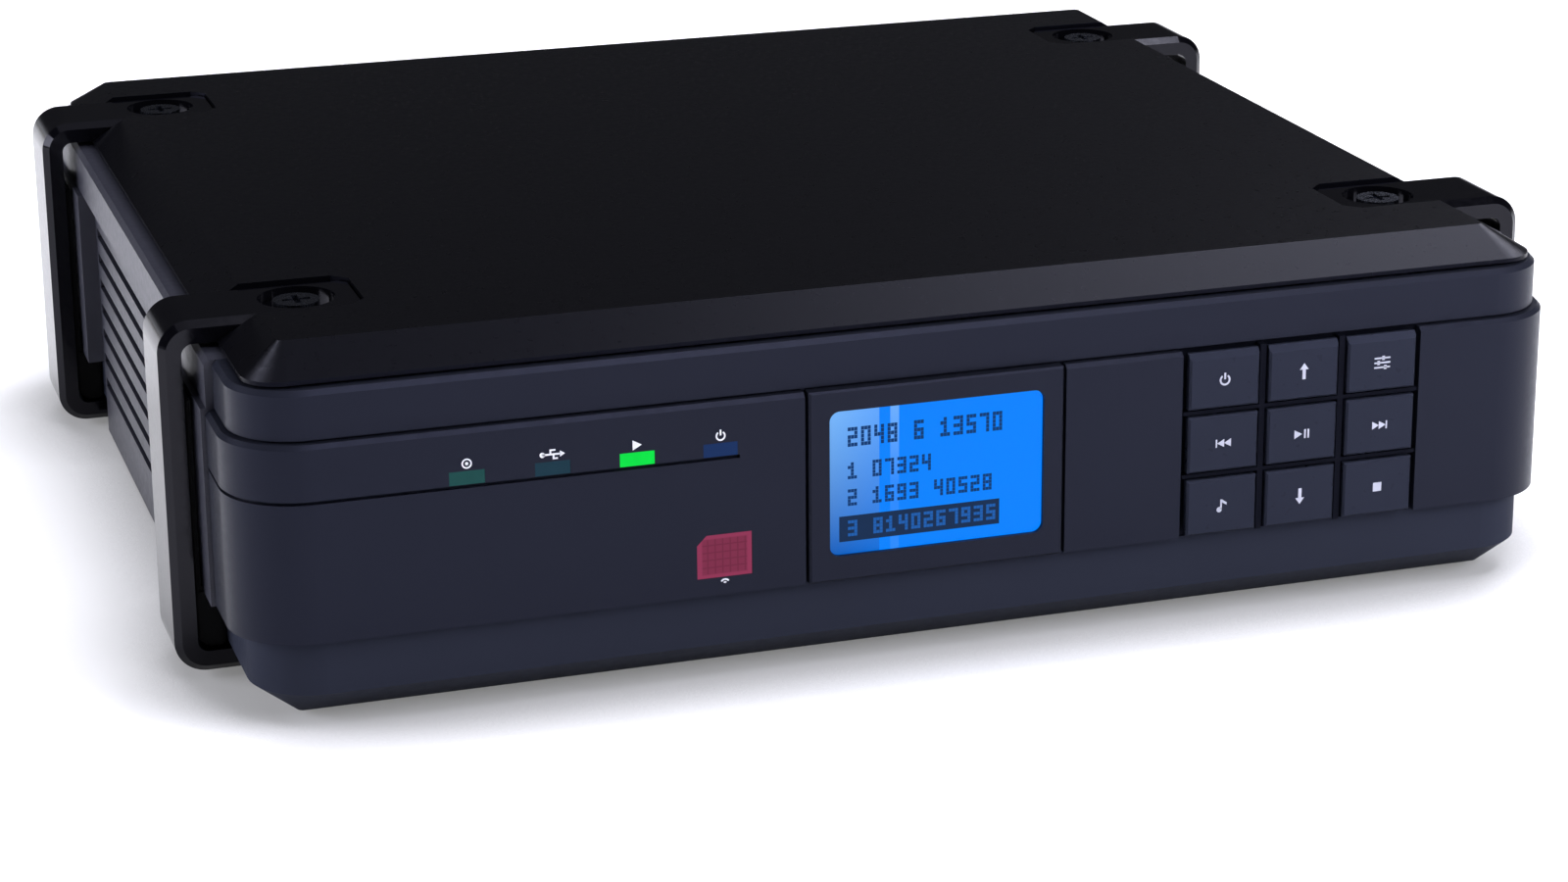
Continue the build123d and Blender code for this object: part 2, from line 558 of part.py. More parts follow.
# ---- tray and drive -----------------------------------------------------------------------------
def drive_tray():
    """Open carrier under the drive: floor, sides with runners, and an end wall for the plug."""
    inner = TRAY_HALF - TRAY_WALL
    y = (DRIVE_Y[0] - 2.0, FACE_D[0])
    floor = span((-TRAY_HALF, TRAY_HALF), y, TRAY_FLOOR_Z)
    wall = span((inner, TRAY_HALF), y, (TRAY_FLOOR_Z[0], TRAY_SIDE_Z))
    runner = span((TRAY_HALF, TRAY_HALF + RUNNER[0]), y, (RUNNER_Z, RUNNER_Z + RUNNER[1]))
    end = span((-TRAY_HALF, TRAY_HALF), (y[0], y[0] + 1.5), (TRAY_FLOOR_Z[0], 24.5))
    slots = total(span(about(i * 16.0, 3.0), (50.0, 152.0), (0, TRAY_FLOOR_Z[1])) for i in range(-2, 3))
    scoop = span((-FAR, FAR), (62.0, 138.0), (20.0, FAR))
    holes = total(shoulder_screw(screw_y) for screw_y in DRIVE_SCREW_YS)
    tray = floor + both_sides(wall + runner) + end - slots - scoop - both_sides(holes)
    return Pos(BAY_X, 0, 0) * tray


def shoulder_screw(y, radius=DRIVE_SCREW_R):
    """Screw through the tray's right side into the drive, flush outside."""
    length = 4.6
    screw = Cylinder(radius, length, rotation=(0, 90, 0))
    return Pos(TRAY_HALF - length / 2, y, DRIVE_SCREW_Z) * screw


def drive_screws():
    right = [shoulder_screw(y, DRIVE_SCREW_R - 0.05) for y in DRIVE_SCREW_YS]
    left = [mirror(s, about=Plane.YZ) for s in right]
    return Compound([Pos(BAY_X, 0, 0) * s for s in right + left])


def hard_drive():
    """Cast body of the drive, hollowed below for its board and stepped along the sides."""
    w, _, h = DRIVE_SIZE
    body = span(about(0, w / 2), DRIVE_Y, (DRIVE_Z, DRIVE_Z + h - 2.9))
    pocket = span((-w / 2 + 4, w / 2 - 4), (DRIVE_Y[0] - 1, DRIVE_Y[1] - 36), (0, DRIVE_Z + 3.0))
    step = span((w / 2 - 1.2, FAR), (DRIVE_Y[0] + 20, DRIVE_Y[1] - 20), (DRIVE_Z + 19.0, FAR))
    sockets = both_sides(total(shoulder_screw(y) for y in DRIVE_SCREW_YS))
    return Pos(BAY_X, 0, 0) * (body - pocket - both_sides(step) - sockets)


def hard_drive_lid():
    """Pressed lid with a raised round over the platters and a raised tongue over the arm."""
    w, _, h = DRIVE_SIZE
    base = DRIVE_Z + h - 2.9
    sheet = span(about(0, w / 2 - 1.5), (DRIVE_Y[0] + 1.5, DRIVE_Y[1] - 1.5), (base, base + 1.6))
    raised = (base + 1.6, base + 2.9)
    dish = post(44.0, raised, 0, DRIVE_Y[1] - 53)
    tongue = span(about(0, 26.0), (DRIVE_Y[0] + 8, DRIVE_Y[0] + 60), raised)
    return Pos(BAY_X, 0, 0) * (sheet + dish + tongue)


def hard_drive_board():
    w = DRIVE_SIZE[0]
    front, z = DRIVE_Y[0], DRIVE_Z
    board = span(about(0, w / 2 - 5), (front + 0.5, DRIVE_Y[1] - 37), (z + 1.2, z + 3.0))
    plug = span(about(0, w / 2 - 8), (front - 0.3, front + 9), (z + 0.2, z + 1.2))
    return Pos(BAY_X, 0, 0) * (board + plug)


def tray_plug():
    """Moving half of the drive connector, on the tray's end wall."""
    block = span(about(BAY_X, 31.0), (22.5, DRIVE_Y[0] - 2.0), (14.0, 24.0))
    return block + span(about(BAY_X, 26.6), (18.4, 22.5), (17.2, 20.8))


def tray_face():
    """Rear plate of the tray with a finger pocket, louvres and two lugs for the pull."""
    plate = span(about(BAY_X, FACE_HALF), FACE_D, FACE_Z)
    plate = chamfer(plate.edges().filter_by(Axis.Y), 1.2)
    plate = chamfer(plate.faces().sort_by(Axis.Y)[-1].edges(), 0.5)
    pocket = span(about(BAY_X, POCKET_HALF), (FACE_D[0], FAR), POCKET_Z)
    tub = span(about(BAY_X, POCKET_HALF + 1.2), (POCKET_FLOOR - 1.0, FACE_D[0]),
               (POCKET_Z[0] - 1.2, POCKET_Z[1] + 1.2))
    tub = tub - span(about(BAY_X, POCKET_HALF), (POCKET_FLOOR, FAR), POCKET_Z)
    lugs = total(span(about(BAY_X + s * (PULL_HALF + 2.4), 1.9), (FACE_D[1], PIVOT_D), about(PIVOT_Z, 2.8))
                 + lug_end(BAY_X + s * (PULL_HALF + 2.4)) for s in (-1, 1))
    bores = Pos(BAY_X, PIVOT_D, PIVOT_Z) * Cylinder(PIN_R, 80, rotation=(0, 90, 0))
    louvres = total(span(about(BAY_X + s * (38.0 + i * 4.4), 1.1), (FACE_D[0] - 1, FAR), (10.0, 34.0))
                    for i in range(4) for s in (-1, 1))
    return plate - pocket + tub + lugs - bores - louvres


def lug_end(x):
    return Pos(x, PIVOT_D, PIVOT_Z) * Cylinder(2.8, 3.8, rotation=(0, 90, 0))


def pull_pins():
    pin = Cylinder(PIN_R, 6.6, rotation=(0, 90, 0))
    return Compound([Pos(BAY_X + s * (PULL_HALF + 1.0), PIVOT_D, PIVOT_Z) * pin for s in (-1, 1)])


def tray_pull():
    """Bail that hangs flat on the tray's face and swings out to draw the tray."""
    grip_z = (PIVOT_Z - PULL_DROP, PIVOT_Z - PULL_DROP + 4.5)
    back, front = PIVOT_D - PULL_T / 2, PIVOT_D + PULL_T / 2
    grip = span(about(BAY_X, PULL_HALF), (back, front), grip_z)
    eye = Cylinder(2.5, 4.0, rotation=(0, 90, 0))
    arms = total(span(about(x, 2.0), (back, front), (grip_z[0], PIVOT_Z)) + Pos(x, PIVOT_D, PIVOT_Z) * eye
                 for x in about(BAY_X, PULL_HALF - 2.0))
    bail = grip + arms
    corners = bail.edges().filter_by(Axis.Y).group_by(Axis.Z)[0]
    bail = fillet(corners, 3.0)
    bores = Pos(BAY_X, PIVOT_D, PIVOT_Z) * Cylinder(PIN_R + 0.06, 80, rotation=(0, 90, 0))
    return bail - bores


# ---- main board and rear ------------------------------------------------------------------------
def main_board():
    x, y = MAIN_BOARD_X, MAIN_BOARD_Y
    board = span(x, y, MAIN_BOARD_Z)
    return chamfer(board.edges().filter_by(Axis.Z), 4.0)


def heatsink():
    base_z = MAIN_BOARD_Z[1] + PROCESSOR_H
    x, y = PROCESSOR
    base = span(about(x, 16.0), about(y, 16.0), (base_z, base_z + 2.5))
    fins = total(span(about(x + i * 5.0, 0.7), about(y, 16.0), (base_z + 2.5, base_z + 14))
                 for i in range(-3, 4))
    return base + fins


def board_components():
    """Processor under the heatsink, memory and driver chips beside it, and three capacitors."""
    z = (MAIN_BOARD_Z[1], MAIN_BOARD_Z[1] + 1.2)
    tall = (z[0], z[0] + 12.5)
    processor = span(about(PROCESSOR[0], 14.0), about(PROCESSOR[1], 14.0), (z[0], z[0] + PROCESSOR_H))
    memory = [span(about(36.0, 5.0), about(y, 9.0), z) for y in (92.0, 116.0)]
    drivers = [span(about(84.0, 6.0), about(y, 6.0), z) for y in (90.0, 128.0)]
    capacitors = [post(4.0, tall, x, 150.0) for x in (32.0, 44.0, 56.0)]
    return Compound([processor] + memory + drivers + capacitors)


def ribbon(x, start, end, length):
    """Flat cable of 0.8 mm from a board's back face at start (y, z) to lie on the main board."""
    t = 0.8
    (y0, z0), (y1, z1) = start, end
    outline = Polyline((y0, z0), (y0 + 12, z0), (y1, z1), (y1 + length, z1), (y1 + length, z1 + t),
                       (y1 + 0.3, z1 + t), (y0 + 12.3, z0 + t), (y0, z0 + t), close=True)
    return extrude(Plane.YZ.offset(x[0]) * make_face(outline), x[1] - x[0])


def ribbon_cables():
    end = (MAIN_BOARD_Y[0] + 2, MAIN_BOARD_Z[1])
    return Compound([ribbon(FRONT_RIBBON_X, (BOARD_D[1], 26.0), end, 6.0),
                     ribbon(RIBBON_X, (BAY_BOARD_D, 26.0), end, 6.0)])


def rear_panel():
    """Sheet behind the casing's rear frame, cut for the tray and for each socket."""
    sheet = span((-PANEL_HALF, PANEL_HALF), PANEL_D, (OPEN_Z[0], OPEN_Z[1] - 0.1))
    cuts = [span(about(BAY_X, FACE_HALF + FACE_GAP), EVERYWHERE, (0, FACE_Z[1] + FACE_GAP)),
            span(about(SWITCH[0], 6.4), EVERYWHERE, about(SWITCH[1], 9.6)),
            span(about(USB[0], 6.1), EVERYWHERE, about(USB[1], 5.6)),
            rod(6.2, (170, 190), *INLET), rod(6.2, (170, 190), *SVIDEO)]
    cuts += [span(PHONO_OPENING[0], EVERYWHERE, PHONO_OPENING[1])]
    cuts += [span(about(BAY_X + i * 8.0, 2.0), EVERYWHERE, (40.8, 43.6)) for i in range(-5, 6)]
    return sheet - total(cuts)


def av_sockets():
    """Block of six phono sockets, three over three."""
    foot_z = STEP_Z + 0.3
    block = (span((PHONO_XS[0] - 5.4, PHONO_XS[-1] + 5.0), (164.0, PANEL_D[0]), (foot_z, 41.0))
             + span((PHONO_XS[0] - 4, PHONO_XS[-1] + 3), (164.0, 174.0), (MAIN_BOARD_Z[1], foot_z)))
    barrels = total(rod(PHONO_R, (PANEL_D[0], OVERALL_D), x, z) - rod(1.65, (PANEL_D[1], OVERALL_D + 1), x, z)
                    for x in PHONO_XS for z in PHONO_ZS)
    return block + barrels


def round_socket(x, z, base_z):
    """Small round socket of the power or video kind: a face with a ring groove round its core."""
    body = span(about(x, 6.6), (165.0, PANEL_D[0]), (base_z, z + 6.6))
    nose = rod(5.9, (PANEL_D[0], PANEL_D[1] + 0.8), x, z)
    groove = rod(4.9, (PANEL_D[1] - 3, 190), x, z) - rod(4.1, (PANEL_D[1] - 3, 190), x, z)
    return body + nose - groove


def usb_socket():
    """Square socket for a printer-style plug, with the contact tongue inside."""
    z0 = MAIN_BOARD_Z[1]
    shell = span(about(USB[0], 6.0), (162.0, PANEL_D[1] + 0.6), (z0, z0 + 11.0))
    mouth = chamfer(span(about(USB[0], 4.2), (168.0, 190.0), about(USB[1], 3.9)).edges().filter_by(Axis.Y)
                    .group_by(Axis.Z)[-1], 1.6)
    tongue = span(about(USB[0], 2.8), (166.0, PANEL_D[1] - 1.0), about(USB[1], 1.6))
    return shell - mouth + tongue


def switch_frame():
    """Snap-in housing of the power rocker."""
    x, z = SWITCH
    flange = span(about(x, 7.4), (PANEL_D[1], PANEL_D[1] + 1.2), about(z, 10.4))
    box = span(about(x, 6.3), (164.0, PANEL_D[1]), about(z, 9.5))
    well = span(about(x, 5.8), (166.5, FAR), about(z, 8.95))
    return flange + box - well - Pos(x, ROCKER_D, z) * Cylinder(1.28, 30, rotation=(0, 90, 0))


def power_rocker():
    """Rocker with a shallow V face, tipped so that its upper half is in."""
    ends = Circle(8.6)
    profile = Polyline((-9, 4.3), (0, 3.0), (9, 4.3), (9, -3.4), (-9, -3.4), close=True)
    section = make_face(profile) & ends
    x, z = SWITCH
    rocker = extrude(section, 5.4, both=True)
    axle = Cylinder(1.2, 12.4)
    # sketch x runs up, sketch y runs out of the panel and the extrusion runs along the axle
    place = Plane(origin=(x, ROCKER_D, z), x_dir=(0, 0, 1), z_dir=(-1, 0, 0))
    return place * (Rot(0, 0, -ROCKER_TILT) * (rocker + axle))


def panel_screws():
    head = rod(2.8, (PANEL_D[1], PANEL_D[1] + 1.2), 0, 0)
    head = head - span(EVERYWHERE, (PANEL_D[1] + 0.6, FAR), about(0, 0.4))
    return Compound([Pos(x, 0, z) * head for x, z in PANEL_SCREWS])


# ---- output -------------------------------------------------------------------------------------
def pieces():
    skin = fascia_skin()
    nodes = {
        "main_housing": main_housing(), "top_cover": top_cover(), "bottom_cover": bottom_cover(),
        "front_bezel": front_bezel(), "left_fascia": left_fascia(skin), "display_fascia": display_fascia(),
        "centre_fascia": centre_fascia(skin), "right_fascia": right_fascia(skin), "ir_window": ir_window(),
        "ir_receiver": ir_receiver(), "indicator_leds": indicator_leds(), "lcd_window": lcd_window(),
        "lcd_module": lcd_module(), "keypad_frame": keypad_frame(), "key_switches": key_switches(),
        "control_board": control_board(), "clamp_screws": clamp_screws(), "foot_pads": foot_pads(),
        "drive_bay": drive_bay(), "tray_guides": tray_guides(), "bay_board": bay_board(),
        "bay_connector": bay_connector(), "drive_tray": drive_tray(), "drive_screws": drive_screws(),
        "hard_drive": hard_drive(), "hard_drive_lid": hard_drive_lid(),
        "hard_drive_board": hard_drive_board(), "tray_plug": tray_plug(), "tray_face": tray_face(),
        "pull_pins": pull_pins(), "tray_pull": tray_pull(), "main_board": main_board(),
        "heatsink": heatsink(),
        "board_components": board_components(), "ribbon_cables": ribbon_cables(), "rear_panel": rear_panel(),
        "av_sockets": av_sockets(), "usb_socket": usb_socket(), "switch_frame": switch_frame(),
        "power_rocker": power_rocker(), "panel_screws": panel_screws(),
        "power_inlet": round_socket(*INLET, MAIN_BOARD_Z[1]),
        "svideo_socket": round_socket(*SVIDEO, SVIDEO[1] - 6.6),
    }
    nodes.update({name: lamp_guide(x) for name, x in LAMP_XS.items()})
    for row, names in enumerate(KEY_NAMES):
        for column, name in enumerate(names):
            nodes[name] = key(KEY_COLS[column], KEY_ROWS[row], row == 0)
    for end, y in zip(("front", "rear"), CLAMP_YS):
        for side, sign in (("left", -1), ("right", 1)):
            nodes[f"clamp_{end}_{side}"] = clamp(sign, y)
    return nodes


def save(name, piece):
    centre = (OVERALL_D - KEY_PROUD) / 2
    export_step(Pos(0, -centre, 0) * piece, f"parts/{name}.step")


os.makedirs("parts", exist_ok=True)
for node, solid in pieces().items():
    save(node, solid)
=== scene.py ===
"""Looks of the desktop media player: finishes, printed symbols, the display's picture and the studio.

Metres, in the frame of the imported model: +X to the right seen from the front, +Y to the back, +Z up.
"""
import json
import math

import bmesh
import bpy
from mathutils import Matrix, Vector


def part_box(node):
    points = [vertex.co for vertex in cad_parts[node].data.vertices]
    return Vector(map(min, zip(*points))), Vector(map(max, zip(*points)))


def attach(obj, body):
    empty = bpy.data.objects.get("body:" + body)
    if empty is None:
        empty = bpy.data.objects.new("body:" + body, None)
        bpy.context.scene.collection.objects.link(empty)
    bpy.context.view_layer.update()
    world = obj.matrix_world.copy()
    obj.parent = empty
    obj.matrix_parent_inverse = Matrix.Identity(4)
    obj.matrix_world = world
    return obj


MM = 0.001
WHITE = (1.0, 1.0, 1.0, 1.0)
BLACK = (0.0, 0.0, 0.0, 1.0)
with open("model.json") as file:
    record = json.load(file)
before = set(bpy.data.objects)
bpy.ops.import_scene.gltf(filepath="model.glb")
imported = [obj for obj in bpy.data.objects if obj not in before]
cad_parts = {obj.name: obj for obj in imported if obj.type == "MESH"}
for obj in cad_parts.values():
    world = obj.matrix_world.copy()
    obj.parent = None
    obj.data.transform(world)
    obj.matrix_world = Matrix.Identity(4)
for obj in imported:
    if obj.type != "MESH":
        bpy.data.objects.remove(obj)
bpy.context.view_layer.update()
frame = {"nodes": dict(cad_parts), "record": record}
scene = bpy.context.scene

# ---- camera: where the photograph was taken from ------------------------------------------------
PHOTO_SIZE = (1600, 900)
FOCAL_PX = 3858.8
CENTRE_PX = (876.96, 391.94)
SENSOR = 36.0
CAMERA_AT = Vector((-175.43, -569.90, 203.54)) * MM
YAW, PITCH, ROLL = (math.radians(a) for a in (18.976, 17.752, -0.082))

# ---- studio -------------------------------------------------------------------------------------
SKY_TINT = (0.9, 0.91, 1.0, 1.0)
HORIZON = 0.8             # strength of the studio's wall at floor height
CEILING = 0.03            # strength of its dark ceiling
WALL_TOP = 0.1            # sine of the elevation where the ceiling's strength is reached
FLOOR_GLOW = 0.42         # added to the lit floor for camera, glossy and transmission rays
SHADOW_REACH = 0.022      # how far from the object the floor's contact shadow reaches
SHADOW_DEPTH = 0.45       # what is left of the floor's brightness at the object's foot
FLOOR_HALF = 6.0          # half of the floor's side
FLOOR_GREY = (0.88, 0.88, 0.88, 1.0)
OPEN_SKY = (0.5, 0.95)    # share of open sky at the object's foot, and where the shadow ends
CAMERA_NEAR = 0.01
LAMP_TINT = (0.9, 0.9, 1.0)
LAMPS = (
    # name, place, aimed at, width, height, power in watts
    ("key_left", (-1.1, 0.15, 0.4), (-0.1, 0.0, 0.02), 0.8, 0.6, 14.0),
    ("front_box", (0.36, -0.42, 0.3), (0.1, -0.09, 0.03), 0.35, 0.3, 3.3),
    ("top_box", (0.56, 0.25, 0.87), (0.0, -0.08, 0.05), 0.5, 0.5, 2.6),
    ("edge_strip", (0.2, -0.42, 0.98), (-0.03, -0.09, 0.04), 0.8, 0.14, 4.0),
    ("corner_box", (-0.32, 0.48, 0.82), (-0.09, -0.08, 0.05), 0.2, 0.2, 1.0),
    ("back_box", (0.9, 0.75, 1.0), (0.0, 0.09, 0.03), 0.6, 0.4, 7.0),
    ("overhead", (0.0, 0.1, 1.6), (0.0, 0.0, 0.0), 1.8, 1.8, 6.0),
)

# ---- finishes -----------------------------------------------------------------------------------
NOISE_ROUGH = 0.55
NOISE_SPAN = (0.3, 0.7)   # where nearly all of a noise texture's values lie
CLOUD_SCALE = 18.0        # clouding of moulded plastic, per metre
SHEEN_SCALE = 800.0       # uneven sheen of moulded plastic
PIT_RATIO = 0.6           # pits per length of the grain
PIT_STRENGTH = 0.35
COAT_ROUGH = 0.08
SCRATCH_SCALE = 2600.0
SCRATCH_STRETCH = 0.02    # scale along the brushed direction
SCRATCH_DEPTH = 0.02 * MM
GLOW_SCALE = 400.0        # unevenness of lit windows
GLOW_BODY = 0.05          # share of a lit window's colour that its unlit body keeps
GLOW_SPECULAR = 0.05
GRID_LINE = 0.3           # width of the infrared window's grid lines, as a share of the pitch
RIM_SPAN = (0.8, 0.86)    # where the infrared window's rim starts, as a share of its half width

# ---- printed marks ------------------------------------------------------------------------------
INK = 0.04 * MM           # thickness of printing
KEY_MARK = 1.7 * MM       # height of the symbols on the keys
SKIP_MARK = 1.35 * MM     # height of the symbols in the keypad's middle row
LAMP_MARK = 1.45 * MM     # height of the symbols at the lamps and the infrared window
LAMP_MARK_GAP = 0.35 * MM
WINDOW_MARK_DROP = 1.0 * MM
MIDDLE_ROW = ("key_previous", "key_play", "key_next")
SAME_POINT = 1e-7
ARC_STEPS = 24


# ---- materials ----------------------------------------------------------------------------------
class Tree:
    """A material's node tree with its shader, and short calls for the nodes it needs."""

    def __init__(self, name):
        self.material = bpy.data.materials.new(name)
        self.material.use_nodes = True
        self.nodes = self.material.node_tree.nodes
        self.links = self.material.node_tree.links
        self.shader = self.nodes["Principled BSDF"]
        self.place = self.nodes.new("ShaderNodeTexCoord").outputs["Object"]

    def put(self, socket, value):
        """Link another node's output to the socket, or write a plain value into it."""
        if isinstance(value, bpy.types.NodeSocket):
            self.links.new(value, socket)
        else:
            socket.default_value = value

    def node(self, kind, inputs=None, **settings):
        made = self.nodes.new(kind)
        for name, value in settings.items():
            setattr(made, name, value)
        for name, value in (inputs or {}).items():
            self.put(made.inputs[name], value)
        return made

    def noise(self, scale, detail=3.0, place=None):
        inputs = {"Vector": place or self.place, "Scale": scale, "Detail": detail, "Roughness": NOISE_ROUGH}
        return self.node("ShaderNodeTexNoise", inputs).outputs["Fac"]

    def ramp(self, value, low, high, to_low, to_high):
        inputs = {"Value": value, "From Min": low, "From Max": high, "To Min": to_low, "To Max": to_high}
        return self.node("ShaderNodeMapRange", inputs).outputs["Result"]

    def uneven(self, noise, low, high):
        """A noise spread over the values from low to high."""
        return self.ramp(noise, *NOISE_SPAN, low, high)

    def math(self, operation, *values):
        made = self.node("ShaderNodeMath", operation=operation)
        for socket, value in zip(made.inputs, values):
            self.put(socket, value)
        return made.outputs[0]

    def blend(self, factor, first, second):
        mix = self.node("ShaderNodeMix", data_type="RGBA")
        for socket, value in zip((mix.inputs[0], mix.inputs[6], mix.inputs[7]), (factor, first, second)):
            self.put(socket, value)
        return mix.outputs[2]

    def bump(self, height, strength, distance):
        inputs = {"Height": height, "Strength": strength, "Distance": distance}
        return self.node("ShaderNodeBump", inputs).outputs["Normal"]

    def set(self, **inputs):
        """Give the shader's inputs, named with underscores for blanks."""
        for name, value in inputs.items():
            self.put(self.shader.inputs[name.replace("_", " ")], value)


def rgb(red, green, blue):
    """Colour from its written 0 to 255 values, as the shader's linear ones."""
    def linear(v):
        v /= 255
        return v / 12.92 if v <= 0.04045 else ((v + 0.055) / 1.055) ** 2.4
    return linear(red), linear(green), linear(blue), 1.0


def scaled(colour, share):
    return tuple(c * share for c in colour[:3]) + (1.0,)


def moulded(name, colour, rough, grain=0.35 * MM, depth=0.02 * MM, specular=0.5, tint=WHITE, coat=0.0,
            patchy=0.12):
    """Moulded plastic: spark-eroded grain, faint clouding of the colour and uneven sheen."""
    tree = Tree(name)
    cloud = tree.noise(CLOUD_SCALE, 4.0)
    sheen = tree.noise(SHEEN_SCALE, 2.0)
    tree.set(Base_Color=tree.blend(cloud, scaled(colour, 1 - patchy), scaled(colour, 1 + patchy)))
    tree.set(Roughness=tree.uneven(sheen, rough - 0.03, rough + 0.04))
    pits = tree.noise(PIT_RATIO / grain, 2.0)
    tree.set(Normal=tree.bump(pits, PIT_STRENGTH, depth))
    tree.shader.inputs["Specular IOR Level"].default_value = specular
    tree.shader.inputs["Specular Tint"].default_value = tint
    tree.shader.inputs["Coat Weight"].default_value = coat
    tree.shader.inputs["Coat Roughness"].default_value = COAT_ROUGH
    return tree.material


def metal(name, colour, rough, brushed=None):
    """Plated, brushed or cast metal. brushed is the axis that its scratches run along."""
    tree = Tree(name)
    stretch = [1.0, 1.0, 1.0]
    if brushed is not None:
        stretch[brushed] = SCRATCH_STRETCH
    place = tree.node("ShaderNodeMapping", {"Vector": tree.place, "Scale": stretch}).outputs["Vector"]
    scratches = tree.noise(SCRATCH_SCALE, 3.0, place)
    cloud = tree.noise(30.0, 3.0)
    tree.set(Base_Color=tree.blend(cloud, scaled(colour, 0.85), colour))
    tree.set(Roughness=tree.uneven(scratches, rough - 0.06, rough + 0.08))
    tree.set(Normal=tree.bump(scratches, 0.2, SCRATCH_DEPTH))
    tree.shader.inputs["Metallic"].default_value = 1.0
    return tree.material


def glowing(tree, glow, body_colour, gloss, cloud):
    """Finish a lit window: its glow over a dark body with a glossy skin."""
    tree.set(Base_Color=scaled(body_colour, GLOW_BODY), Emission_Color=glow)
    tree.set(Roughness=tree.uneven(cloud, gloss, gloss + 0.05))
    tree.shader.inputs["Emission Strength"].default_value = 1.0
    tree.shader.inputs["Specular IOR Level"].default_value = GLOW_SPECULAR
    return tree.material


def lit(name, colour, gloss=0.15):
    """A lamp window or a display's mark, faintly uneven."""
    tree = Tree(name)
    cloud = tree.noise(GLOW_SCALE, 2.0)
    return glowing(tree, tree.blend(cloud, scaled(colour, 0.8), colour), colour, gloss, cloud)


def infrared_window(name, colour, pitch=0.55 * MM):
    """Dark red window with a fine moulded grid and a paler rim, lit by its own glow though it is no lamp:
    painted light.
    """
    tree = Tree(name)
    low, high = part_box("ir_window")
    centre, half = (low + high) / 2, (high - low) / 2
    axes = tree.node("ShaderNodeSeparateXYZ", {"Vector": tree.place}).outputs
    lines, rims = [], []
    for axis, index in (("X", 0), ("Z", 2)):
        lines.append(tree.math("PINGPONG", axes[axis], pitch))
        offset = tree.math("ABSOLUTE", tree.math("SUBTRACT", axes[axis], centre[index]))
        rims.append(tree.math("DIVIDE", offset, half[index]))
    grid = tree.ramp(tree.math("MINIMUM", *lines), 0.0, GRID_LINE * pitch, 0.0, 1.0)
    rim = tree.ramp(tree.math("MAXIMUM", *rims), *RIM_SPAN, 0.0, 1.0)
    inside = tree.blend(grid, scaled(colour, 0.72), colour)
    glow = tree.blend(rim, inside, scaled(colour, 1.35))
    # the window glows though nothing lights it from inside: painted light
    return glowing(tree, glow, colour, 0.12, tree.noise(GLOW_SCALE, 2.0))


def display_glass(name, colour, pale, deep, reflection_x=-8.6 * MM, reflection_stripe_x=-6.3 * MM, reflection_stripe_half=0.65 * MM):
    """Backlit display with a painted reflection: a pale stripe, and a patch at its left that is pale above
    and deep below and fades to the right.
    """
    tree = Tree(name)
    low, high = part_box("lcd_window")
    axes = tree.node("ShaderNodeSeparateXYZ", {"Vector": tree.place}).outputs
    upward = tree.ramp(axes["Z"], low.z, high.z, 0.0, 1.0)
    # painted reflection on the glass: its left part, pale above and deep below, fading towards the right
    reflected_share = tree.math("LESS_THAN", axes["X"], reflection_x)
    strength = tree.ramp(axes["X"], low.x, reflection_x, 0.95, 0.6)
    painted_reflection = tree.blend(upward, deep, pale)
    # a painted pale stripe of reflection, stronger towards the top
    reflection_stripe = tree.math("COMPARE", axes["X"], reflection_stripe_x, reflection_stripe_half)
    reflection_stripe = tree.math("MULTIPLY", reflection_stripe, tree.ramp(upward, 0.45, 1.0, 0.12, 0.75))
    # the display's own blue with the painted stripe of reflection over it
    plain = tree.blend(reflection_stripe, colour, pale)
    reflected_share = tree.math("MULTIPLY", reflected_share, strength)
    glow = tree.blend(reflected_share, plain, painted_reflection)
    return glowing(tree, glow, colour, 0.06, tree.noise(GLOW_SCALE, 2.0))


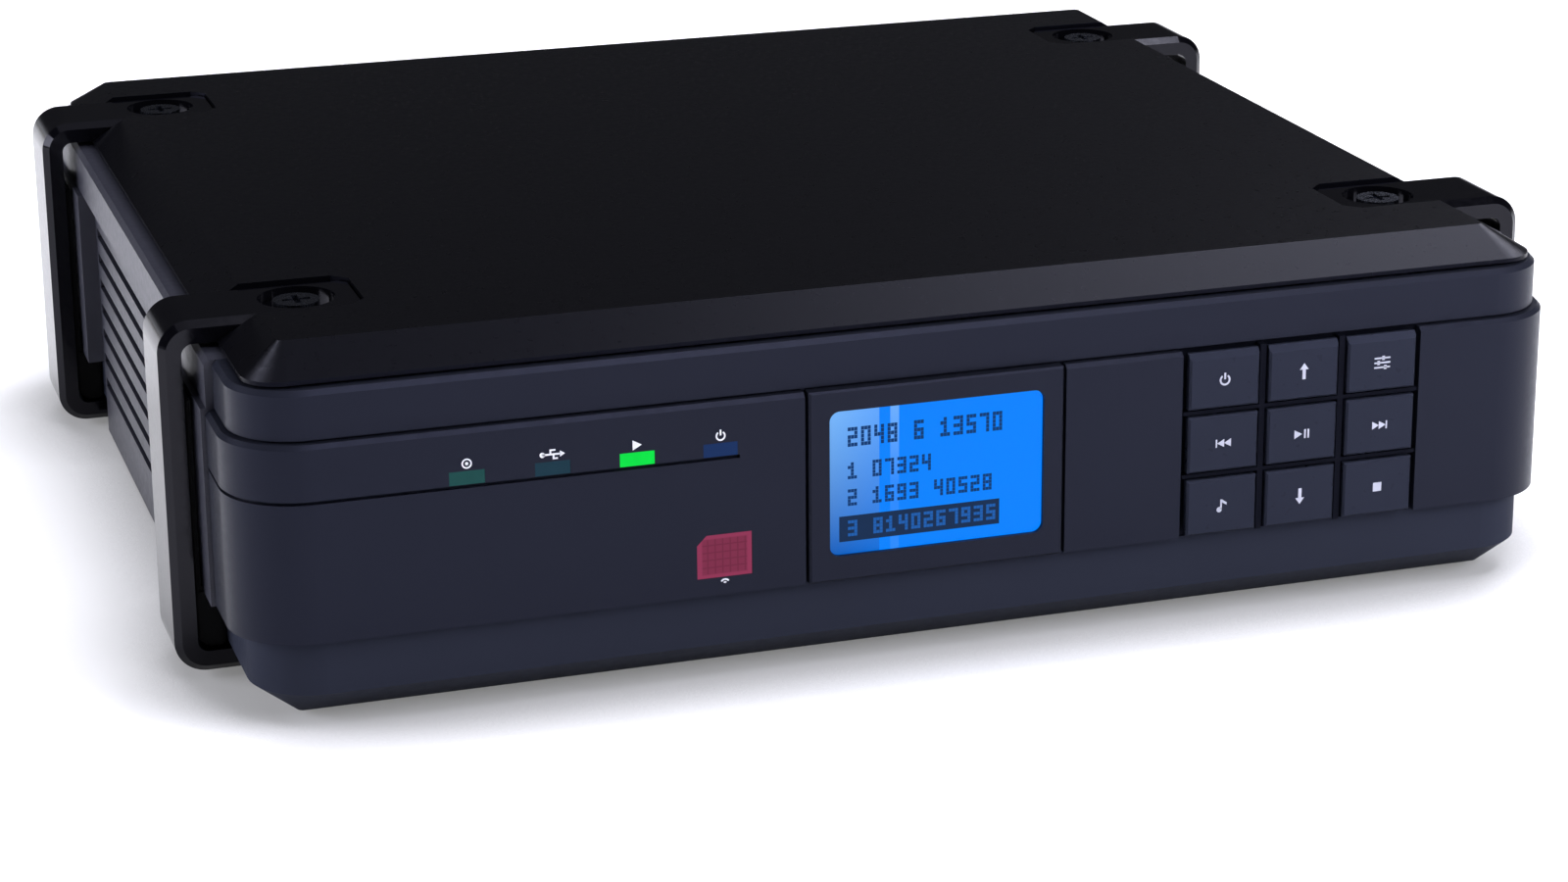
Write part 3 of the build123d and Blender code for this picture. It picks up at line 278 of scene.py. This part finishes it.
BLUE_SHEEN = rgb(200, 206, 255)
PALE_SHEEN = rgb(240, 240, 255)
MATERIALS = {
    "cover": moulded("cover_black", rgb(4, 4, 6), 0.3, specular=0.1, tint=BLUE_SHEEN, patchy=0.05),
    "base": moulded("base_blue_black", rgb(43, 46, 57), 0.5, specular=0.02, tint=BLUE_SHEEN, patchy=0.06),
    "band": moulded("band_blue_black", rgb(27, 29, 37), 0.34, specular=0.12, tint=BLUE_SHEEN, patchy=0.06),
    "fascia": moulded("fascia_blue_black", rgb(26, 28, 36), 0.34, specular=0.12, tint=BLUE_SHEEN,
                      patchy=0.06),
    "side_wall": moulded("side_grey", rgb(34, 35, 44), 0.42, specular=0.6, tint=PALE_SHEEN),
    "tray_face": moulded("tray_face_black", rgb(30, 30, 34), 0.5),
    "tray": moulded("tray_black", rgb(32, 32, 35), 0.6),
    "key": moulded("key_black", rgb(34, 37, 47), 0.3, specular=0.1, tint=BLUE_SHEEN),
    "keypad_frame": moulded("keypad_frame_black", rgb(10, 11, 17), 0.45, specular=0.05, tint=BLUE_SHEEN),
    "clamp": moulded("clamp_gloss", rgb(6, 6, 9), 0.1, depth=0.002 * MM, specular=0.2, tint=PALE_SHEEN),
    "pull": moulded("pull_gloss", rgb(18, 18, 20), 0.25, depth=0.006 * MM, coat=0.3),
    "rocker": moulded("rocker_gloss", rgb(14, 14, 15), 0.25, depth=0.004 * MM, coat=0.4),
    "socket_plastic": moulded("socket_black", rgb(20, 20, 21), 0.45),
    "component": moulded("component_black", rgb(24, 24, 25), 0.55),
    "nylon": moulded("guide_nylon", rgb(208, 207, 198), 0.5),
    "ribbon": moulded("ribbon_grey", rgb(150, 152, 155), 0.5),
    "foot_rubber": moulded("foot_rubber", rgb(24, 24, 24), 0.8, depth=0.05 * MM, specular=0.3),
    "circuit_board": moulded("solder_resist", rgb(24, 78, 46), 0.35, grain=1.2 * MM, coat=0.3),
    "rear_panel": moulded("rear_panel_paint", rgb(26, 26, 29), 0.45, grain=0.5 * MM, depth=0.04 * MM),
    "lcd_frame": moulded("lcd_frame_black", rgb(20, 20, 20), 0.5),
    "screw": metal("screw_black_oxide", rgb(92, 96, 108), 0.25),
    "sheet_steel": metal("bay_sheet", rgb(150, 152, 155), 0.46, brushed=1),
    "drive_casting": metal("drive_casting", rgb(128, 130, 133), 0.5),
    "drive_lid": metal("drive_lid", rgb(138, 140, 144), 0.46, brushed=1),
    "heatsink": metal("heatsink_anodised", rgb(70, 71, 74), 0.5, brushed=0),
    "socket_metal": metal("socket_shell", rgb(205, 206, 210), 0.25),
    "led": lit("led_resin", rgb(120, 130, 122)),
    "drive_lamp": lit("lamp_drive", rgb(30, 76, 76)),
    "usb_lamp": lit("lamp_usb", rgb(26, 56, 72)),
    "play_lamp": lit("lamp_play", rgb(0, 232, 72)),
    "power_lamp": lit("lamp_power", rgb(22, 48, 96)),
    # the infrared window glows though it is no lamp: painted light
    "ir_window": infrared_window("ir_red", rgb(122, 44, 72)),
    # the display's second and third colours are its painted reflection, pale above and deep below
    "lcd_window": display_glass("lcd_blue", rgb(0, 127, 250), rgb(124, 184, 244), rgb(8, 84, 170)),
}
INK_WHITE = moulded("printed_white", rgb(232, 233, 238), 0.5)
INK_KEY = moulded("printed_key_grey", rgb(186, 188, 202), 0.5)
INK_DARK = lit("display_dark", rgb(10, 56, 112))
BAR_DARK = lit("display_bar", rgb(20, 46, 82))
INK_PALE = lit("display_pale", rgb(30, 96, 178))
# near-black strips in the gaps behind the clamps' uprights, where there is only shade: painted shade
SHADE_FILLER = moulded("clamp_gap_painted_shade", rgb(8, 8, 9), 0.7, depth=0.04 * MM, specular=0.1)


def dress_nodes():
    slots = {part["node"]: part["material_slot"] for part in frame["record"]["subparts"]}
    for name, piece in frame["nodes"].items():
        piece.data.materials.clear()
        piece.data.materials.append(MATERIALS[slots[name]])


# ---- printed symbols ----------------------------------------------------------------------------
def bar(x0, z0, x1, z1):
    return [(x0, z0), (x1, z0), (x1, z1), (x0, z1)]


def arc(radius, start, end):
    steps = [math.radians(start + (end - start) * i / ARC_STEPS) for i in range(ARC_STEPS + 1)]
    return [(radius * math.cos(a), radius * math.sin(a)) for a in steps]


def thick_arc(outer, inner, start, end):
    return arc(outer, start, end) + arc(inner, end, start)


def shifted(loop, dx, dz, scale=1.0):
    return [(x * scale + dx, z * scale + dz) for x, z in loop]


ARROW_RIGHT = [(-0.45, -0.5), (0.45, 0.0), (-0.45, 0.5)]
NEXT = [shifted(ARROW_RIGHT, -0.5, 0, 0.9), shifted(ARROW_RIGHT, 0.3, 0, 0.9), bar(0.72, -0.45, 0.88, 0.45)]
ARROW_UP = [[(-0.42, 0.15), (0.42, 0.15), (0.0, 0.72)], bar(-0.15, -0.72, 0.15, 0.15)]
POWER = [thick_arc(0.5, 0.34, -235, 55), bar(-0.08, 0.05, 0.08, 0.62)]
SYMBOLS = {
    "key_power": POWER,
    "key_up": ARROW_UP,
    "key_setting": [bar(-0.75, z - 0.07, 0.75, z + 0.07) for z in (-0.42, 0.0, 0.42)]
    + [bar(x - 0.12, z - 0.19, x + 0.12, z + 0.19) for x, z in ((0.3, -0.42), (-0.35, 0.0), (0.1, 0.42))],
    "key_previous": [[(-x, z) for x, z in loop] for loop in NEXT],
    "key_play": [shifted(ARROW_RIGHT, -0.45, 0), bar(0.25, -0.5, 0.45, 0.5), bar(0.65, -0.5, 0.85, 0.5)],
    "key_next": NEXT,
    "key_music": [shifted(arc(0.24, 0, 360), -0.2, -0.35), bar(-0.11, -0.35, 0.04, 0.55),
                  [(0.04, 0.55), (0.48, 0.25), (0.48, 0.02), (0.04, 0.3)]],
    "key_down": [[(x, -z) for x, z in loop] for loop in ARROW_UP],
    "key_stop": [bar(-0.4, -0.4, 0.4, 0.4)],
    "drive_lamp": [thick_arc(0.5, 0.36, 0, 360), shifted(arc(0.16, 0, 360), 0, 0)],
    "usb_lamp": [bar(-1.0, -0.09, 0.8, 0.09), shifted(arc(0.26, 0, 360), -1.0, 0),
                 [(0.72, -0.3), (1.2, 0.0), (0.72, 0.3)], bar(-0.3, 0.09, -0.12, 0.5),
                 bar(-0.12, 0.34, 0.3, 0.5), bar(0.0, -0.5, 0.18, -0.09), bar(0.18, -0.5, 0.5, -0.34)],
    "play_lamp": [ARROW_RIGHT],
    "power_lamp": POWER,
    "ir_window": [thick_arc(0.5, 0.34, 30, 150), thick_arc(0.2, 0.04, 30, 150)],
}


def new_piece(name, mesh, material, body="casing"):
    """Turn a bmesh into a piece that rides on the body."""
    bmesh.ops.recalc_face_normals(mesh, faces=mesh.faces[:])
    data = bpy.data.meshes.new(name)
    mesh.to_mesh(data)
    mesh.free()
    piece = bpy.data.objects.new(name, data)
    scene.collection.objects.link(piece)
    data.materials.append(material)
    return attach(piece, body)


def decal(name, loops, centre, size, face_y, material, body):
    """A thin printed shape facing the front, standing INK proud of the face at face_y."""
    mesh = bmesh.new()
    for loop in loops:
        corners = [mesh.verts.new((centre[0] + x * size, face_y, centre[1] + z * size)) for x, z in loop]
        if (corners[0].co - corners[-1].co).length < SAME_POINT:
            mesh.verts.remove(corners.pop())
        face = mesh.faces.new(corners)
        grown = bmesh.ops.extrude_face_region(mesh, geom=[face])
        for item in grown["geom"]:
            if isinstance(item, bmesh.types.BMVert):
                item.co.y -= INK
    bmesh.ops.triangulate(mesh, faces=mesh.faces[:])
    return new_piece(name, mesh, material, body)


def print_symbols():
    """A symbol on each key, above each lamp and below the infrared window."""
    fascia_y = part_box("left_fascia")[0].y
    for node, loops in SYMBOLS.items():
        low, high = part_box(node)
        x, z = (low.x + high.x) / 2, (low.z + high.z) / 2
        name = f"{node}_symbol"
        if node.startswith("key_"):
            size = SKIP_MARK if node in MIDDLE_ROW else KEY_MARK
            decal(name, loops, (x, z), size, low.y, INK_KEY, f"{node}_cap")
            continue
        if node == "ir_window":
            z = low.z - WINDOW_MARK_DROP
        else:
            z = high.z + LAMP_MARK_GAP + LAMP_MARK / 2
        decal(name, loops, (x, z), LAMP_MARK, fascia_y, INK_WHITE, "casing")


# ---- display ------------------------------------------------------------------------------------
DIGITS = ("111101101101111", "010110010010111", "111001111100111", "111001111001111", "101101111001001",
          "111100111001111", "111100111101111", "111001001001001", "111101111101111", "111101111001111")
DIGIT_COLUMNS, DIGIT_ROWS = 3, 5
TEXT_LEFT = 2.8 * MM      # from the window's left edge
DOT_FILL = 0.9            # share of its place that a dot fills
ROWS = (
    # digits, pitch, height, height of the row's middle over the window's lower edge
    ("2048 6 13570", 1.98 * MM, 2.9 * MM, 17.4 * MM),
    ("1 07324", 1.85 * MM, 2.5 * MM, 12.4 * MM),
    ("2 1693 40528", 1.85 * MM, 2.5 * MM, 8.4 * MM),
)
MARKED_ROW = ("3 8140267935", 1.9 * MM, 2.4 * MM, 3.8 * MM)
MARK_BAR = ((1.5 * MM, 25.7 * MM), (1.9 * MM, 5.7 * MM))


def digit_dots(text, pitch, height, middle_z, left, bottom):
    """One row of digits made of dots; a blank leaves a space."""
    dot_x, dot_z = pitch / (DIGIT_COLUMNS + 1), height / DIGIT_ROWS
    top = bottom + middle_z + height / 2
    loops = []
    for place, digit in enumerate(text):
        if digit == " ":
            continue
        for index, dot in enumerate(DIGITS[int(digit)]):
            row, column = divmod(index, DIGIT_COLUMNS)
            x, z = left + TEXT_LEFT + place * pitch + column * dot_x, top - row * dot_z
            if dot == "1":
                loops.append(bar(x, z - DOT_FILL * dot_z, x + DOT_FILL * dot_x, z))
    return loops


def show_display():
    """The display's rows, and the marked row's pale digits on their dark bar."""
    low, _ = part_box("lcd_window")
    left, bottom, face_y = low.x, low.z, low.y
    dark = []
    for row in ROWS:
        dark += digit_dots(*row, left, bottom)
    (x0, x1), (z0, z1) = MARK_BAR
    behind = [bar(left + x0, bottom + z0, left + x1, bottom + z1)]
    marked = digit_dots(*MARKED_ROW, left, bottom)
    show = (
        (dark, "display_rows", INK_DARK, 0.0),
        (behind, "display_bar", BAR_DARK, 0.0),
        (marked, "display_marked_row", INK_PALE, INK),
    )
    for loops, name, material, lift in show:
        decal(name, loops, (0.0, 0.0), 1.0, face_y - lift, material, "casing")


# ---- small parts that the solids leave out, and painted shade behind the clamps -----------------
CLAMP_T = 3.2 * MM        # thickness of the clamps' straps
SHADE_FILLER_GAP = 0.3 * MM      # between the shade filler and the casing
SHADE_FILLER_PLAY = 0.05 * MM    # between the shade filler and the strap
SHADE_FILLER_CORNER = 1.5 * MM   # room for the bend of the strap
SHADE_FILLER_HALF_Y = 6.4 * MM
SHADE_FILLER_EDGE = 0.35 * MM
TURN_STEPS = 32


def clamp_shade_filler(clamp):
    """Near-black strip between a clamp's upright and the casing; it fills the space over the lower arm,
    where there is only shade: painted shade.
    """
    low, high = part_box(clamp)
    side = -1 if low.x < 0 else 1
    outer = (high.x if side > 0 else -low.x) - CLAMP_T - SHADE_FILLER_PLAY
    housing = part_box("main_housing")[1].x + SHADE_FILLER_GAP
    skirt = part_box("bottom_cover")[1].x + SHADE_FILLER_GAP
    foot_z = low.z + CLAMP_T + SHADE_FILLER_GAP
    step_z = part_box("left_fascia")[0].z
    top_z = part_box("left_fascia")[1].z
    outline = [(outer, foot_z + SHADE_FILLER_CORNER), (outer, top_z), (housing, top_z), (housing, step_z),
               (skirt, step_z), (skirt, foot_z), (outer - SHADE_FILLER_CORNER, foot_z)]
    y = (low.y + high.y) / 2
    mesh = bmesh.new()
    ends = []
    for end_y in (y - SHADE_FILLER_HALF_Y, y + SHADE_FILLER_HALF_Y):
        ends.append([mesh.verts.new((side * x, end_y, z)) for x, z in outline])
        mesh.faces.new(ends[-1])
    for i in range(len(outline)):
        j = (i + 1) % len(outline)
        mesh.faces.new((ends[0][i], ends[0][j], ends[1][j], ends[1][i]))
    bmesh.ops.recalc_face_normals(mesh, faces=mesh.faces[:])
    bmesh.ops.bevel(mesh, geom=mesh.edges[:], offset=SHADE_FILLER_EDGE, segments=2, affect="EDGES",
                    clamp_overlap=True)
    # the strip stands in for the shade in the gap: painted shade
    new_piece(f"{clamp}_shade_filler", mesh, SHADE_FILLER)


def turned(name, profile, x, z, material):
    """A ring turned about an axis along Y at x and z, from a closed profile of (radius, y)."""
    mesh = bmesh.new()
    rings = []
    for i in range(TURN_STEPS):
        angle = 2 * math.pi * i / TURN_STEPS
        across, up = math.cos(angle), math.sin(angle)
        rings.append([mesh.verts.new((x + r * across, y, z + r * up)) for r, y in profile])
    for i in range(TURN_STEPS):
        here, there = rings[i], rings[(i + 1) % TURN_STEPS]
        for a in range(len(profile)):
            b = (a + 1) % len(profile)
            mesh.faces.new((here[a], here[b], there[b], there[a]))
    for face in mesh.faces:
        face.smooth = True
    return new_piece(name, mesh, material)


PHONO_SOCKETS = (
    # name, place across, height, colour of the plastic
    ("green", 59.4 * MM, 33.0 * MM, rgb(30, 120, 60)),
    ("blue", 71.6 * MM, 33.0 * MM, rgb(36, 70, 150)),
    ("red", 83.8 * MM, 33.0 * MM, rgb(160, 34, 36)),
    ("yellow", 59.4 * MM, 19.0 * MM, rgb(206, 168, 32)),
    ("white", 71.6 * MM, 19.0 * MM, rgb(214, 212, 204)),
    ("red_low", 83.8 * MM, 19.0 * MM, rgb(160, 34, 36)),
)
BARREL_R = 4.15 * MM      # outer radius of a phono socket's moulded barrel
SLEEVE_R = (BARREL_R + 0.01 * MM, BARREL_R + 0.12 * MM)
SLEEVE_EDGE = 0.08 * MM
COLLAR_R = 5.2 * MM
COLLAR_OUT = 1.3 * MM     # past the rear panel's face
COLLAR_IN = 1.1 * MM      # behind it
COLLAR_EDGE = 0.3 * MM
CORE_R = (1.7 * MM, 2.1 * MM, 3.3 * MM)
CORE_IN = 0.3 * MM
CORE_OUT = 0.02 * MM
FACE_SETBACK = 0.1 * MM
ROUND_SOCKETS = {
    # place across, height, pin radius and the pins' offsets, in millimetres
    "power_inlet": (31.5, 17.2, 0.7, ((-1.6, 1.6), (1.6, 1.6))),
    "svideo_socket": (47.0, 33.5, 0.45, ((-1.7, 0.6), (1.7, 0.6), (-1.0, -1.8), (1.0, -1.8))),
}


def phono_socket(name, x, z, colour, panel_y, rear_y):
    """Plated sleeve, coloured collar and coloured core on one moulded phono barrel."""
    plated = MATERIALS["socket_metal"]
    plastic = moulded(f"phono_{name}", colour, 0.4, coat=0.2)
    inner, outer = SLEEVE_R
    collar_y = panel_y + COLLAR_OUT
    lip_y = rear_y - FACE_SETBACK
    sleeve = [(inner, collar_y), (outer, collar_y), (outer, rear_y - 0.25 * MM),
              (outer - SLEEVE_EDGE, lip_y), (inner, lip_y)]
    turned(f"phono_sleeve_{name}", sleeve, x, z, plated)
    collar = [(inner, panel_y - COLLAR_IN), (COLLAR_R, panel_y - COLLAR_IN),
              (COLLAR_R, collar_y - COLLAR_EDGE), (COLLAR_R - COLLAR_EDGE, collar_y), (inner, collar_y)]
    turned(f"phono_collar_{name}", collar, x, z, plastic)
    bore, edge, rim = CORE_R
    core = [(bore, rear_y - CORE_IN), (rim, rear_y - CORE_IN), (rim, rear_y + CORE_OUT),
            (edge, rear_y + CORE_OUT), (bore, lip_y)]
    turned(f"phono_core_{name}", core, x, z, plastic)


def round_contacts(socket, x, z, radius, places):
    """Plated contacts around a round socket's pin holes."""
    face_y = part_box(socket)[1].y
    hole, rim = 0.45 * radius * MM, 1.5 * radius * MM
    contact = [(hole, face_y - FACE_SETBACK), (rim, face_y - FACE_SETBACK), (rim, face_y + 0.05 * MM),
               (0.8 * rim, face_y + 0.12 * MM), (hole, face_y + 0.06 * MM)]
    for number, (dx, dz) in enumerate(places):
        name = f"{socket}_contact_{number}"
        turned(name, contact, (x + dx) * MM, (z + dz) * MM, MATERIALS["socket_metal"])


def small_parts():
    for clamp in ("clamp_front_left", "clamp_front_right", "clamp_rear_left", "clamp_rear_right"):
        # near-black fillers as painted shade behind each clamp
        clamp_shade_filler(clamp)
    rear_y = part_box("av_sockets")[1].y
    panel_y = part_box("rear_panel")[1].y
    for name, x, z, colour in PHONO_SOCKETS:
        phono_socket(name, x, z, colour, panel_y, rear_y)
    for socket, (x, z, radius, places) in ROUND_SOCKETS.items():
        round_contacts(socket, x, z, radius, places)


# ---- camera, world, lamps and floor -------------------------------------------------------------
def make_camera():
    data = bpy.data.cameras.new("camera")
    camera = bpy.data.objects.new("camera", data)
    scene.collection.objects.link(camera)
    ahead = Vector((math.sin(YAW) * math.cos(PITCH), math.cos(YAW) * math.cos(PITCH), -math.sin(PITCH)))
    turn = ahead.to_track_quat("-Z", "Y").to_matrix() @ Matrix.Rotation(ROLL, 3, "Z")
    camera.matrix_world = Matrix.Translation(CAMERA_AT) @ turn.to_4x4()
    width, height = PHOTO_SIZE
    data.sensor_width = SENSOR
    data.lens = FOCAL_PX / width * SENSOR
    data.shift_x = (width / 2 - CENTRE_PX[0]) / width
    data.shift_y = (CENTRE_PX[1] - height / 2) / width
    data.clip_start = CAMERA_NEAR
    scene.camera = camera


def make_world():
    """Plain white where the camera sees it; a pale wall under a dark ceiling lights the object."""
    world = bpy.data.worlds.new("studio")
    scene.world = world
    world.use_nodes = True
    nodes, links = world.node_tree.nodes, world.node_tree.links
    nodes.clear()
    out = nodes.new("ShaderNodeOutputWorld")
    seen = nodes.new("ShaderNodeBackground")
    seen.inputs["Color"].default_value = WHITE
    light = nodes.new("ShaderNodeBackground")
    light.inputs["Color"].default_value = SKY_TINT
    direction = nodes.new("ShaderNodeSeparateXYZ")
    links.new(nodes.new("ShaderNodeTexCoord").outputs["Generated"], direction.inputs[0])
    height = nodes.new("ShaderNodeMapRange")
    links.new(direction.outputs["Z"], height.inputs["Value"])
    fade = {"From Min": 0.0, "From Max": WALL_TOP, "To Min": HORIZON, "To Max": CEILING}
    for name, value in fade.items():
        height.inputs[name].default_value = value
    links.new(height.outputs["Result"], light.inputs["Strength"])
    mix = nodes.new("ShaderNodeMixShader")
    links.new(seen_directly(nodes, links, ("Is Camera Ray", "Is Transmission Ray")), mix.inputs[0])
    links.new(light.outputs[0], mix.inputs[1])
    links.new(seen.outputs[0], mix.inputs[2])
    links.new(mix.outputs[0], out.inputs["Surface"])


def seen_directly(nodes, links, rays):
    """One for the named kinds of ray, and nothing for the rest."""
    path = nodes.new("ShaderNodeLightPath")
    either = path.outputs[rays[0]]
    for ray in rays[1:]:
        larger = nodes.new("ShaderNodeMath")
        larger.operation = "MAXIMUM"
        links.new(either, larger.inputs[0])
        links.new(path.outputs[ray], larger.inputs[1])
        either = larger.outputs[0]
    return either


def make_lamps():
    for name, place, aim, width, height, power in LAMPS:
        data = bpy.data.lights.new(name, "AREA")
        data.shape = "RECTANGLE"
        data.size = width
        data.size_y = height
        data.energy = power
        data.color = LAMP_TINT
        lamp = bpy.data.objects.new(name, data)
        scene.collection.objects.link(lamp)
        lamp.location = place
        lamp.rotation_mode = "QUATERNION"
        lamp.rotation_quaternion = (Vector(aim) - Vector(place)).to_track_quat("-Z", "Y")


def make_floor():
    """Pale floor that runs far behind the object; an ambient-occlusion term darkens its colour and glow
    near the object's foot, a painted contact shadow over the shadow that the lamps cast.
    """
    size = FLOOR_HALF
    data = bpy.data.meshes.new("floor")
    corners = [(-size, -size, 0), (size, -size, 0), (size, size, 0), (-size, size, 0)]
    data.from_pydata(corners, [], [(0, 1, 2, 3)])
    floor = bpy.data.objects.new("floor", data)
    scene.collection.objects.link(floor)
    tree = Tree("floor_white")
    reach = {"Distance": SHADOW_REACH}
    # painted contact shadow: the floor's colour and glow darken where the object hides its sky
    sky = tree.node("ShaderNodeAmbientOcclusion", reach, samples=8).outputs["AO"]
    shade = tree.ramp(sky, *OPEN_SKY, SHADOW_DEPTH, 1.0)
    tree.set(Base_Color=tree.blend(shade, BLACK, FLOOR_GREY))
    tree.set(Roughness=tree.uneven(tree.noise(60.0), 0.75, 0.85))
    tree.shader.inputs["Specular IOR Level"].default_value = 0.0
    rays = seen_directly(tree.nodes, tree.links, ("Is Camera Ray", "Is Glossy Ray", "Is Transmission Ray"))
    glow = tree.ramp(rays, 0.0, 1.0, 0.0, FLOOR_GLOW)
    tree.set(Emission_Color=WHITE, Emission_Strength=tree.math("MULTIPLY", shade, glow))
    data.materials.append(tree.material)


dress_nodes()
print_symbols()
show_display()
small_parts()
make_camera()
make_world()
make_lamps()
make_floor()
scene.view_settings.view_transform = "Standard"
